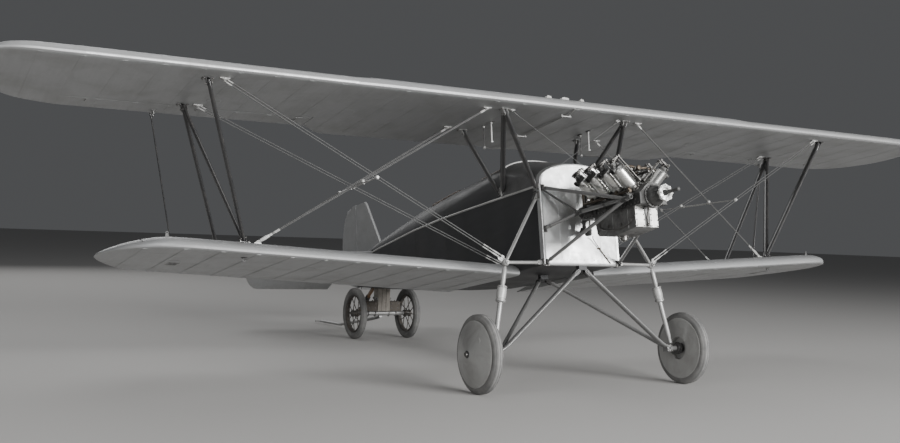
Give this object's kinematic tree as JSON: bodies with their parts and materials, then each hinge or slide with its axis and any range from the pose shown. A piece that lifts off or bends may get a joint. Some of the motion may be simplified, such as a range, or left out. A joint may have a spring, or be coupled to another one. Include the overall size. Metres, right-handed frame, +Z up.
{
  "type": "single-bay biplane with an open vee engine, on a tail dolly",
  "caption": "Two-seat fabric-covered biplane parked nose-up on its main wheels and a tail dolly, engine bare and propeller removed.",
  "frame": {"origin": "centre of the whole object on the floor plane", "axes": "+Z up, nose towards -Y, the aircraft's port side towards +X; parked nose-up by 10 degrees"},
  "size_m": [10.6, 7.9126, 2.7648],
  "materials": {
    "black_fabric": "black-doped fabric, satin",
    "firewall_sheet": "bare aluminium sheet, swirled",
    "seat_leather": "dark worn leather",
    "panel_wood": "varnished plywood",
    "engine_steel": "bright and oily machined steel",
    "silver_fabric": "aluminium-doped fabric, satin",
    "black_enamel": "gloss black enamel, worn",
    "wire_steel": "streamline steel wire",
    "wheel_cover": "dull grey paint over sheet metal",
    "tyre_rubber": "aged grey rubber",
    "engine_castings": "oily cast aluminium",
    "cylinder_jackets": "polished sheet-metal water jackets",
    "copper_pipe": "dull brass and copper",
    "hub_steel": "bright machined steel",
    "dolly_wood": "weathered timber",
    "dolly_iron": "dusty dark iron"
  },
  "bodies": {
    "airframe": {"fuselage_front": "black_fabric", "fuselage_rear": "black_fabric", "firewall": "firewall_sheet", "seat_front": "seat_leather", "instrument_panel_front": "panel_wood", "control_stick_front": "engine_steel", "seat_rear": "seat_leather", "instrument_panel_rear": "panel_wood", "control_stick_rear": "engine_steel", "upper_wing": "silver_fabric", "lower_wing_starboard": "silver_fabric", "lower_wing_port": "silver_fabric", "interplane_struts_starboard": "black_enamel", "cabane_struts_starboard": "black_enamel", "bracing_wires_starboard": "wire_steel", "interplane_struts_port": "black_enamel", "cabane_struts_port": "black_enamel", "bracing_wires_port": "wire_steel", "gear_legs_starboard": "black_enamel", "outrigger_starboard": "black_enamel", "shock_strut_starboard": "black_enamel", "gear_legs_port": "black_enamel", "outrigger_port": "black_enamel", "shock_strut_port": "black_enamel", "crankcase": "engine_castings", "oil_sump": "engine_castings", "cylinders_starboard": "cylinder_jackets", "valve_gear_starboard": "engine_steel", "engine_mount_starboard": "black_enamel", "cylinders_port": "cylinder_jackets", "valve_gear_port": "engine_steel", "engine_mount_port": "black_enamel", "inlet_manifold": "copper_pipe", "engine_accessories": "engine_steel", "tailplane": "silver_fabric", "fin": "silver_fabric", "tailplane_strut_starboard": "black_enamel", "tailplane_strut_port": "black_enamel", "tail_skid": "panel_wood", "dolly_frame": "dolly_wood"},
    "aileron_starboard": {"aileron_starboard": "silver_fabric"},
    "aileron_rod_starboard": {"aileron_rod_starboard": "black_enamel"},
    "aileron_port": {"aileron_port": "silver_fabric"},
    "aileron_rod_port": {"aileron_rod_port": "black_enamel"},
    "wheel_starboard": {"wheel_disc_starboard": "wheel_cover", "tyre_starboard": "tyre_rubber"},
    "wheel_port": {"wheel_disc_port": "wheel_cover", "tyre_port": "tyre_rubber"},
    "propeller_hub": {"propeller_hub": "hub_steel"},
    "elevator": {"elevator": "silver_fabric"},
    "rudder": {"rudder": "silver_fabric"},
    "dolly_wheel_starboard": {"dolly_wheel_starboard": "dolly_iron", "dolly_tyre_starboard": "tyre_rubber"},
    "dolly_wheel_port": {"dolly_wheel_port": "dolly_iron", "dolly_tyre_port": "tyre_rubber"}
  },
  "joints": [
    {"name": "wheel_starboard_spin", "type": "hinge", "parent": "airframe", "child": "wheel_starboard", "pos_m": [-1.183, -2.74427, 0.3556], "axis": [1, 0, 0], "continuous": true},
    {"name": "wheel_port_spin", "type": "hinge", "parent": "airframe", "child": "wheel_port", "pos_m": [1.183, -2.74427, 0.3556], "axis": [1, 0, 0], "continuous": true},
    {"name": "dolly_wheel_starboard_spin", "type": "hinge", "parent": "airframe", "child": "dolly_wheel_starboard", "pos_m": [-0.385, 1.82573, 0.335], "axis": [1, 0, 0], "continuous": true},
    {"name": "dolly_wheel_port_spin", "type": "hinge", "parent": "airframe", "child": "dolly_wheel_port", "pos_m": [0.385, 1.82573, 0.335], "axis": [1, 0, 0], "continuous": true},
    {"name": "propeller_hub_spin", "type": "hinge", "parent": "airframe", "child": "propeller_hub", "pos_m": [0, -3.78099, 1.83002], "axis": [0, -0.9848, 0.1736], "continuous": true},
    {"name": "rudder_swing", "type": "hinge", "parent": "airframe", "child": "rudder", "pos_m": [0, 2.68671, 1.1242], "axis": [0, 0.1736, 0.9848], "range_deg": [-20, 20]},
    {"name": "elevator_swing", "type": "hinge", "parent": "airframe", "child": "elevator", "pos_m": [0, 2.665, 1.0011], "axis": [1, 0, 0], "range_deg": [0, 55]},
    {"name": "aileron_starboard_swing", "type": "hinge", "parent": "airframe", "child": "aileron_starboard", "pos_m": [0, -1.42525, 2.50927], "axis": [1, 0, 0], "range_deg": [-15, 15]},
    {"name": "aileron_rod_starboard_swing", "type": "hinge", "parent": "aileron_starboard", "child": "aileron_rod_starboard", "pos_m": [-3.78, -1.18135, 2.39519], "axis": [1, 0, 0], "range_deg": [-15, 15]},
    {"name": "aileron_port_swing", "type": "hinge", "parent": "airframe", "child": "aileron_port", "pos_m": [0, -1.42525, 2.50927], "axis": [1, 0, 0], "range_deg": [-15, 15]},
    {"name": "aileron_rod_port_swing", "type": "hinge", "parent": "aileron_port", "child": "aileron_rod_port", "pos_m": [3.78, -1.18135, 2.39519], "axis": [1, 0, 0], "range_deg": [-15, 15]}
  ],
  "couplings": [
    {"joint": "aileron_port_swing", "follows": "aileron_starboard_swing", "ratio": -1},
    {"joint": "aileron_rod_starboard_swing", "follows": "aileron_starboard_swing", "ratio": -1},
    {"joint": "aileron_rod_port_swing", "follows": "aileron_starboard_swing", "ratio": 1}
  ]
}
